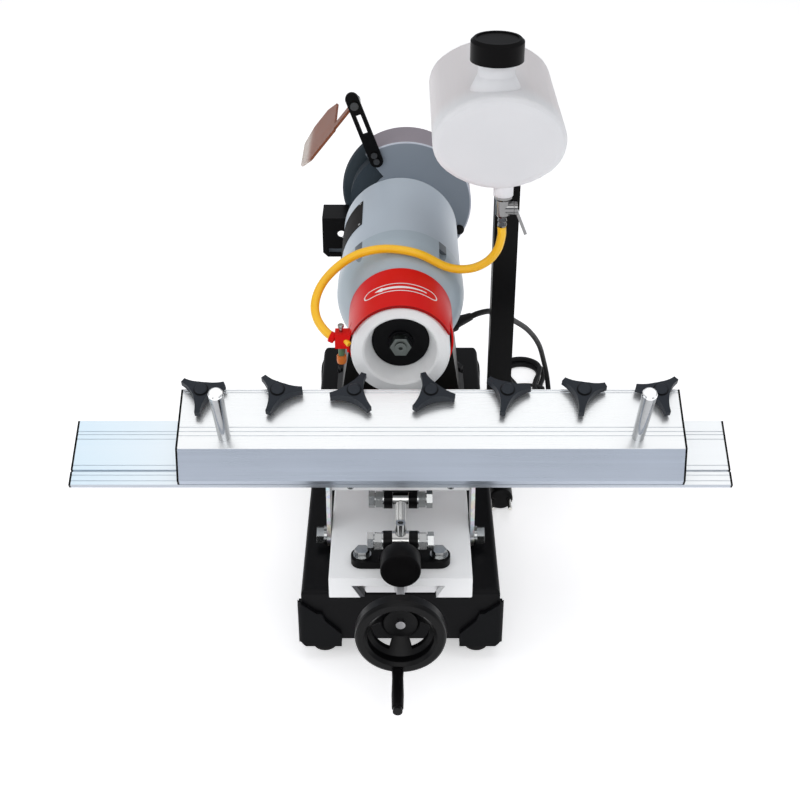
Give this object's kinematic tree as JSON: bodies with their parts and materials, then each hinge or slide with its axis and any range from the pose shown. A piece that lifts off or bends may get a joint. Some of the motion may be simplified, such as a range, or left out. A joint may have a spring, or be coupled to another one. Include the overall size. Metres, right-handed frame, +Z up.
{
  "type": "planer blade sharpening machine",
  "caption": "Bench machine for sharpening planer blades: a motor with a cup wheel, a tilting rail with a sliding clamp carriage, a water tank and a rear grinding wheel.",
  "frame": {"origin": "on the floor plane of the rubber feet, under the middle of the base", "axes": "+X to the operator's right along the rail, +Y from the operator towards the rear wheel, +Z up"},
  "size_m": [0.656, 0.7588, 0.554],
  "materials": {
    "base_black": "semi-gloss black powder coat",
    "guard_plastic": "fine-grained moulded plastic",
    "foot_rubber": "moulded black rubber",
    "machined_iron": "machined sliding faces",
    "motor_grey": "light grey-blue satin enamel",
    "guard_grey": "mid grey enamel",
    "black_paint": "black enamel",
    "red_paint": "glossy red enamel",
    "white_paint": "white enamel",
    "bright_steel": "ground steel",
    "zinc_steel": "zinc plate",
    "bright_chrome": "polished plate",
    "anodised": "bright extruded aluminium",
    "white_abrasive": "open-grained white abrasive",
    "grey_abrasive": "open-grained grey abrasive",
    "black_plastic": "moulded black plastic",
    "knob_plastic": "charcoal glass-filled plastic",
    "nut_brass": "turned brass",
    "tank_plastic": "translucent white blow-moulded plastic",
    "shield_plastic": "tinted clear sheet",
    "hose_plastic": "yellow flexible hose",
    "cord_rubber": "black flexible sheath"
  },
  "bodies": {
    "base": {"base_housing": "base_black", "corner_guards": "guard_plastic", "rubber_feet": "foot_rubber", "dovetail_way": "machined_iron", "motor_pedestal": "motor_grey", "motor_shell": "motor_grey", "front_end_bell": "motor_grey", "rear_end_bell": "motor_grey", "stator": "bright_steel", "ball_bearings": "bright_steel", "wheel_guard": "red_paint", "rear_guard": "guard_grey", "shield_arm": "black_paint", "tank_post": "black_paint", "water_tank": "tank_plastic", "drain_cock": "bright_chrome", "water_hose": "hose_plastic", "cable_gland": "cord_rubber", "power_cord": "cord_rubber", "cord_hank": "cord_rubber", "mains_plug": "black_plastic", "housing_bolts": "zinc_steel"},
    "spindle": {"motor_shaft": "bright_steel", "rotor": "bright_steel", "cup_wheel": "white_abrasive", "wheel_flanges": "black_paint", "spindle_nuts": "zinc_steel", "rear_wheel": "grey_abrasive"},
    "feed": {"feed_screw": "bright_steel", "handwheel": "black_plastic"},
    "crank_grip": {"crank_grip": "black_plastic"},
    "saddle": {"saddle": "white_paint", "gib_strip": "bright_steel", "feed_nut": "nut_brass", "lower_clevis": "black_paint", "trunnion_nut": "bright_steel", "saddle_bolts": "zinc_steel"},
    "swivel": {"swivel_block": "bright_steel"},
    "tilt_screw": {"adjusting_screw": "bright_steel"},
    "rail": {"rail_beam": "anodised", "rail_end_caps": "black_plastic", "cross_plate": "white_paint", "tilt_brackets": "zinc_steel", "upper_clevis": "black_paint", "rail_bolts": "zinc_steel"},
    "carriage": {"carriage_beam": "anodised", "carriage_end_caps": "black_plastic", "push_handles": "bright_chrome"},
    "clamp_bar": {"clamp_bar": "bright_steel"},
    "tank_cap": {"tank_cap": "black_plastic"},
    "cock_lever": {"cock_lever": "bright_chrome"},
    "eye_shield": {"eye_shield": "shield_plastic"},
    "tool_rest": {"tool_rest": "black_paint"},
    "star_knob_1": {"star_knob_1": "knob_plastic"},
    "star_knob_2": {"star_knob_2": "knob_plastic"},
    "star_knob_3": {"star_knob_3": "knob_plastic"},
    "star_knob_4": {"star_knob_4": "knob_plastic"},
    "star_knob_5": {"star_knob_5": "knob_plastic"},
    "star_knob_6": {"star_knob_6": "knob_plastic"},
    "star_knob_7": {"star_knob_7": "knob_plastic"}
  },
  "joints": [
    {"name": "spindle_spin", "type": "hinge", "parent": "base", "child": "spindle", "pos_m": [0, 0, 0.271], "axis": [0, 1, 0], "continuous": true},
    {"name": "feed_handwheel", "type": "hinge", "parent": "base", "child": "feed", "pos_m": [0, -0.3, 0.095], "axis": [0, 1, 0], "range_deg": [-2160, 360]},
    {"name": "saddle_feed", "type": "slide", "parent": "base", "child": "saddle", "axis": [0, 1, 0], "range_m": [-0.018, 0.003]},
    {"name": "crank_grip_spin", "type": "hinge", "parent": "feed", "child": "crank_grip", "pos_m": [-0.00269, -0.35, 0.05654], "axis": [0, 1, 0], "continuous": true},
    {"name": "screw_travel", "type": "slide", "parent": "saddle", "child": "swivel", "axis": [0, 1, 0], "range_m": [-0.0125, 0.0005]},
    {"name": "adjusting_knob", "type": "hinge", "parent": "swivel", "child": "tilt_screw", "pos_m": [0, -0.266, 0.137], "axis": [0, 1, 0], "range_deg": [-2535, 0]},
    {"name": "rail_tilt", "type": "hinge", "parent": "saddle", "child": "rail", "pos_m": [0, -0.171, 0.0985], "axis": [1, 0, 0], "range_deg": [0, 18]},
    {"name": "carriage_slide", "type": "slide", "parent": "rail", "child": "carriage", "axis": [1, 0, 0], "range_m": [-0.13, 0.07]},
    {"name": "clamp_bar_slide", "type": "slide", "parent": "carriage", "child": "clamp_bar", "axis": [0, -0.4226, 0.9063], "range_m": [-0.007, 0]},
    {"name": "star_knob_1_turn", "type": "hinge", "parent": "carriage", "child": "star_knob_1", "pos_m": [-0.198, -0.12314, 0.23414], "axis": [0, -0.4226, 0.9063], "continuous": true},
    {"name": "star_knob_2_turn", "type": "hinge", "parent": "carriage", "child": "star_knob_2", "pos_m": [-0.122, -0.12314, 0.23414], "axis": [0, -0.4226, 0.9063], "continuous": true},
    {"name": "star_knob_3_turn", "type": "hinge", "parent": "carriage", "child": "star_knob_3", "pos_m": [-0.046, -0.12314, 0.23414], "axis": [0, -0.4226, 0.9063], "continuous": true},
    {"name": "star_knob_4_turn", "type": "hinge", "parent": "carriage", "child": "star_knob_4", "pos_m": [0.03, -0.12314, 0.23414], "axis": [0, -0.4226, 0.9063], "continuous": true},
    {"name": "star_knob_5_turn", "type": "hinge", "parent": "carriage", "child": "star_knob_5", "pos_m": [0.106, -0.12314, 0.23414], "axis": [0, -0.4226, 0.9063], "continuous": true},
    {"name": "star_knob_6_turn", "type": "hinge", "parent": "carriage", "child": "star_knob_6", "pos_m": [0.182, -0.12314, 0.23414], "axis": [0, -0.4226, 0.9063], "continuous": true},
    {"name": "star_knob_7_turn", "type": "hinge", "parent": "carriage", "child": "star_knob_7", "pos_m": [0.258, -0.12314, 0.23414], "axis": [0, -0.4226, 0.9063], "continuous": true},
    {"name": "tank_cap_turn", "type": "hinge", "parent": "base", "child": "tank_cap", "pos_m": [0.094, 0.02, 0.54], "axis": [0, 0, 1], "continuous": true},
    {"name": "cock_lever_turn", "type": "hinge", "parent": "base", "child": "cock_lever", "pos_m": [0.117, -0.006, 0.388], "axis": [1, 0, 0], "range_deg": [-90, 0]},
    {"name": "eye_shield_swing", "type": "hinge", "parent": "base", "child": "eye_shield", "pos_m": [-0.05465, 0.27, 0.3993], "axis": [0, 1, 0], "range_deg": [-5, 70]},
    {"name": "tool_rest_slide", "type": "slide", "parent": "base", "child": "tool_rest", "axis": [1, 0, 0], "range_m": [-0.012, 0.0025]}
  ],
  "couplings": [
    {"joint": "feed_handwheel", "follows": "saddle_feed", "rad_per_m": 2094.4},
    {"joint": "adjusting_knob", "follows": "rail_tilt", "ratio": -140.83},
    {"joint": "screw_travel", "follows": "rail_tilt", "m_per_rad": -0.039228}
  ]
}
